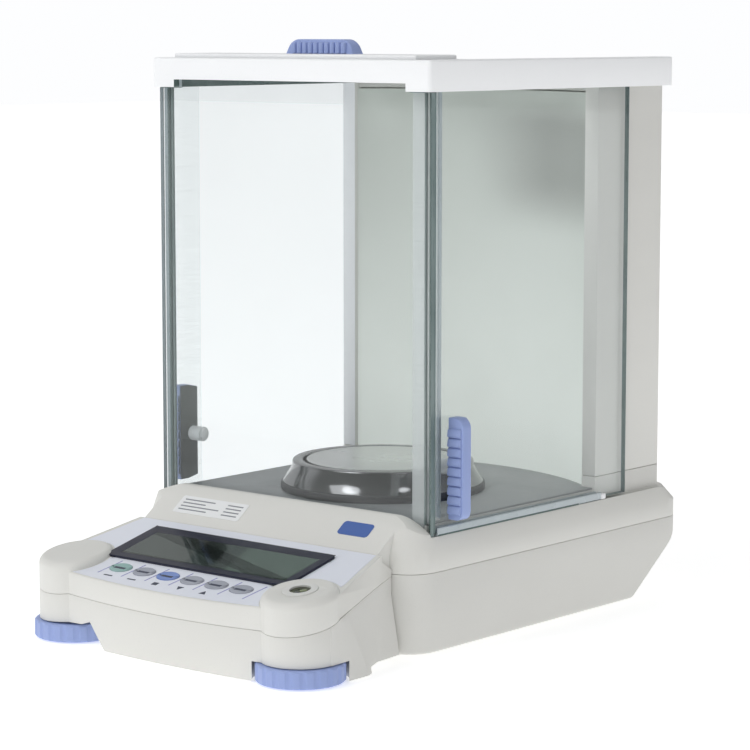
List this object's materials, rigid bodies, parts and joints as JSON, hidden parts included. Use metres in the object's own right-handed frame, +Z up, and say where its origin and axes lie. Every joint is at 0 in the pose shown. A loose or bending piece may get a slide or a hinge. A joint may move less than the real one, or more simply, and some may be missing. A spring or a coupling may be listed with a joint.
{
  "type": "analytical balance",
  "caption": "Electronic analytical balance with a glass draught shield, sliding doors, round pan, tilted display console and screw feet with hand wheels.",
  "frame": {"origin": "on the bench, under the middle of the whole outline", "axes": "+X to the user's right, +Y from the console to the back, +Z up"},
  "size_m": [0.224, 0.357, 0.338],
  "materials": {
    "housing_plastic": "fine spark texture, warm white",
    "frame_plastic": "satin moulded, warm white",
    "back_panel_plastic": "satin, cool light grey",
    "grip_plastic": "satin blue",
    "dark_plastic": "fine texture, near black",
    "floor_plate": "dark grey powder coat",
    "foot_rubber": "black",
    "screw_steel": "zinc plated",
    "cast_alloy": "as cast, machined faces",
    "membrane_film": "printed sheet, pale blue",
    "bezel_plastic": "dark navy print under a clear coat",
    "display_glass": "clear window",
    "display_cell": "grey-green liquid crystal cell",
    "circuit_board": "solder mask",
    "level_ring_plastic": "pale ring",
    "level_fluid": "yellow-green fluid in a clear vial",
    "clear_plastic": "clear strip, sawn flanks",
    "shield_glass": "clear float glass, ground edges",
    "pan_steel": "satin, turned",
    "ring_steel": "polished cone",
    "coil_copper": "enamelled copper winding",
    "magnet_iron": "turned soft iron",
    "socket_metal": "tinned shell",
    "terminal_brass": "nickel worn to brass",
    "key_green": "soft key, blue-green",
    "key_grey": "soft key, grey",
    "key_blue": "soft key, blue"
  },
  "bodies": {
    "housing": {"base_lower_cover": "housing_plastic", "base_upper_cover": "housing_plastic", "console_lower_cover": "housing_plastic", "console_upper_cover": "housing_plastic", "tower_shell": "housing_plastic", "chassis_plate": "cast_alloy", "chamber_floor": "floor_plate", "hook_cover": "dark_plastic", "membrane_panel": "membrane_film", "display_bezel": "bezel_plastic", "display_window": "display_glass", "display_module": "display_cell", "key_board": "circuit_board", "level_ring": "level_ring_plastic", "level_vial": "level_fluid", "chamber_back_panel": "back_panel_plastic", "power_inlet": "dark_plastic", "data_socket": "socket_metal", "earth_terminal": "terminal_brass", "roof_frame": "frame_plastic", "front_glass": "shield_glass", "cell_frame": "cast_alloy", "magnet_pot": "magnet_iron", "main_board": "circuit_board", "supply_board": "circuit_board", "right_rear_foot": "foot_rubber", "left_rear_foot": "foot_rubber", "right_front_screw": "screw_steel", "left_front_screw": "screw_steel", "right_rear_screw": "screw_steel", "left_rear_screw": "screw_steel", "right_corner_post": "clear_plastic", "left_corner_post": "clear_plastic"},
    "right_door": {"right_door_glass": "shield_glass", "right_door_rail": "frame_plastic", "right_door_handle": "grip_plastic", "right_door_knob": "frame_plastic"},
    "left_door": {"left_door_glass": "shield_glass", "left_door_rail": "frame_plastic", "left_door_handle": "grip_plastic", "left_door_knob": "frame_plastic"},
    "top_door": {"top_door_glass": "shield_glass", "top_door_carrier": "frame_plastic", "top_door_handle": "grip_plastic"},
    "pan_hanger": {"pan_support": "cast_alloy"},
    "force_lever": {"cell_lever": "cast_alloy", "force_coil": "coil_copper"},
    "pan": {"weighing_pan": "pan_steel"},
    "shield_ring": {"draft_ring": "ring_steel", "ring_base": "dark_plastic"},
    "right_foot": {"right_foot_pad": "foot_rubber"},
    "left_foot": {"left_foot_pad": "foot_rubber"},
    "right_wheel": {"right_foot_wheel": "grip_plastic"},
    "left_wheel": {"left_foot_wheel": "grip_plastic"},
    "key_power_body": {"key_power": "key_green"},
    "key_calibrate_body": {"key_calibrate": "key_grey"},
    "key_tare_body": {"key_tare": "key_blue"},
    "key_down_body": {"key_down": "key_grey"},
    "key_up_body": {"key_up": "key_grey"},
    "key_print_body": {"key_print": "key_grey"}
  },
  "joints": [
    {"name": "right_door_slide", "type": "slide", "parent": "housing", "child": "right_door", "axis": [0, 1, 0], "range_m": [0, 0.125]},
    {"name": "left_door_slide", "type": "slide", "parent": "housing", "child": "left_door", "axis": [0, 1, 0], "range_m": [0, 0.125]},
    {"name": "top_door_slide", "type": "slide", "parent": "housing", "child": "top_door", "axis": [0, 1, 0], "range_m": [0, 0.125]},
    {"name": "pan_travel", "type": "slide", "parent": "housing", "child": "pan_hanger", "axis": [0, 0, -1], "range_m": [0, 0.0003], "stiffness_N_per_m": 8000, "springref_m": -0.00035},
    {"name": "lever_tilt", "type": "hinge", "parent": "housing", "child": "force_lever", "pos_m": [0, 0.042, 0.028], "axis": [1, 0, 0], "range_deg": [0, 0.7]},
    {"name": "pan_lift", "type": "slide", "parent": "pan_hanger", "child": "pan", "axis": [0, 0, 1], "range_m": [0, 0.05]},
    {"name": "ring_lift", "type": "slide", "parent": "housing", "child": "shield_ring", "axis": [0, 0, 1], "range_m": [0, 0.05]},
    {"name": "key_power_press", "type": "slide", "parent": "housing", "child": "key_power_body", "axis": [0, 0.2396, -0.9709], "range_m": [0, 0.0005], "stiffness_N_per_m": 600, "springref_m": -0.0005},
    {"name": "key_calibrate_press", "type": "slide", "parent": "housing", "child": "key_calibrate_body", "axis": [0, 0.2396, -0.9709], "range_m": [0, 0.0005], "stiffness_N_per_m": 600, "springref_m": -0.0005},
    {"name": "key_tare_press", "type": "slide", "parent": "housing", "child": "key_tare_body", "axis": [0, 0.2396, -0.9709], "range_m": [0, 0.0005], "stiffness_N_per_m": 600, "springref_m": -0.0005},
    {"name": "key_down_press", "type": "slide", "parent": "housing", "child": "key_down_body", "axis": [0, 0.2396, -0.9709], "range_m": [0, 0.0005], "stiffness_N_per_m": 600, "springref_m": -0.0005},
    {"name": "key_up_press", "type": "slide", "parent": "housing", "child": "key_up_body", "axis": [0, 0.2396, -0.9709], "range_m": [0, 0.0005], "stiffness_N_per_m": 600, "springref_m": -0.0005},
    {"name": "key_print_press", "type": "slide", "parent": "housing", "child": "key_print_body", "axis": [0, 0.2396, -0.9709], "range_m": [0, 0.0005], "stiffness_N_per_m": 600, "springref_m": -0.0005},
    {"name": "right_foot_slide", "type": "slide", "parent": "housing", "child": "right_foot", "axis": [0, 0, -1], "range_m": [0, 0.0051]},
    {"name": "right_wheel_turn", "type": "hinge", "parent": "right_foot", "child": "right_wheel", "pos_m": [0.08545, -0.1541, 0.006], "axis": [0, 0, -1], "range_deg": [0, 1440]},
    {"name": "left_foot_slide", "type": "slide", "parent": "housing", "child": "left_foot", "axis": [0, 0, -1], "range_m": [0, 0.0051]},
    {"name": "left_wheel_turn", "type": "hinge", "parent": "left_foot", "child": "left_wheel", "pos_m": [-0.08545, -0.1541, 0.006], "axis": [0, 0, -1], "range_deg": [0, 1440]}
  ],
  "couplings": [
    {"joint": "lever_tilt", "follows": "pan_travel", "rad_per_m": 37.037},
    {"joint": "right_foot_slide", "follows": "right_wheel_turn", "m_per_rad": 0.00019894},
    {"joint": "left_foot_slide", "follows": "left_wheel_turn", "m_per_rad": 0.00019894}
  ]
}
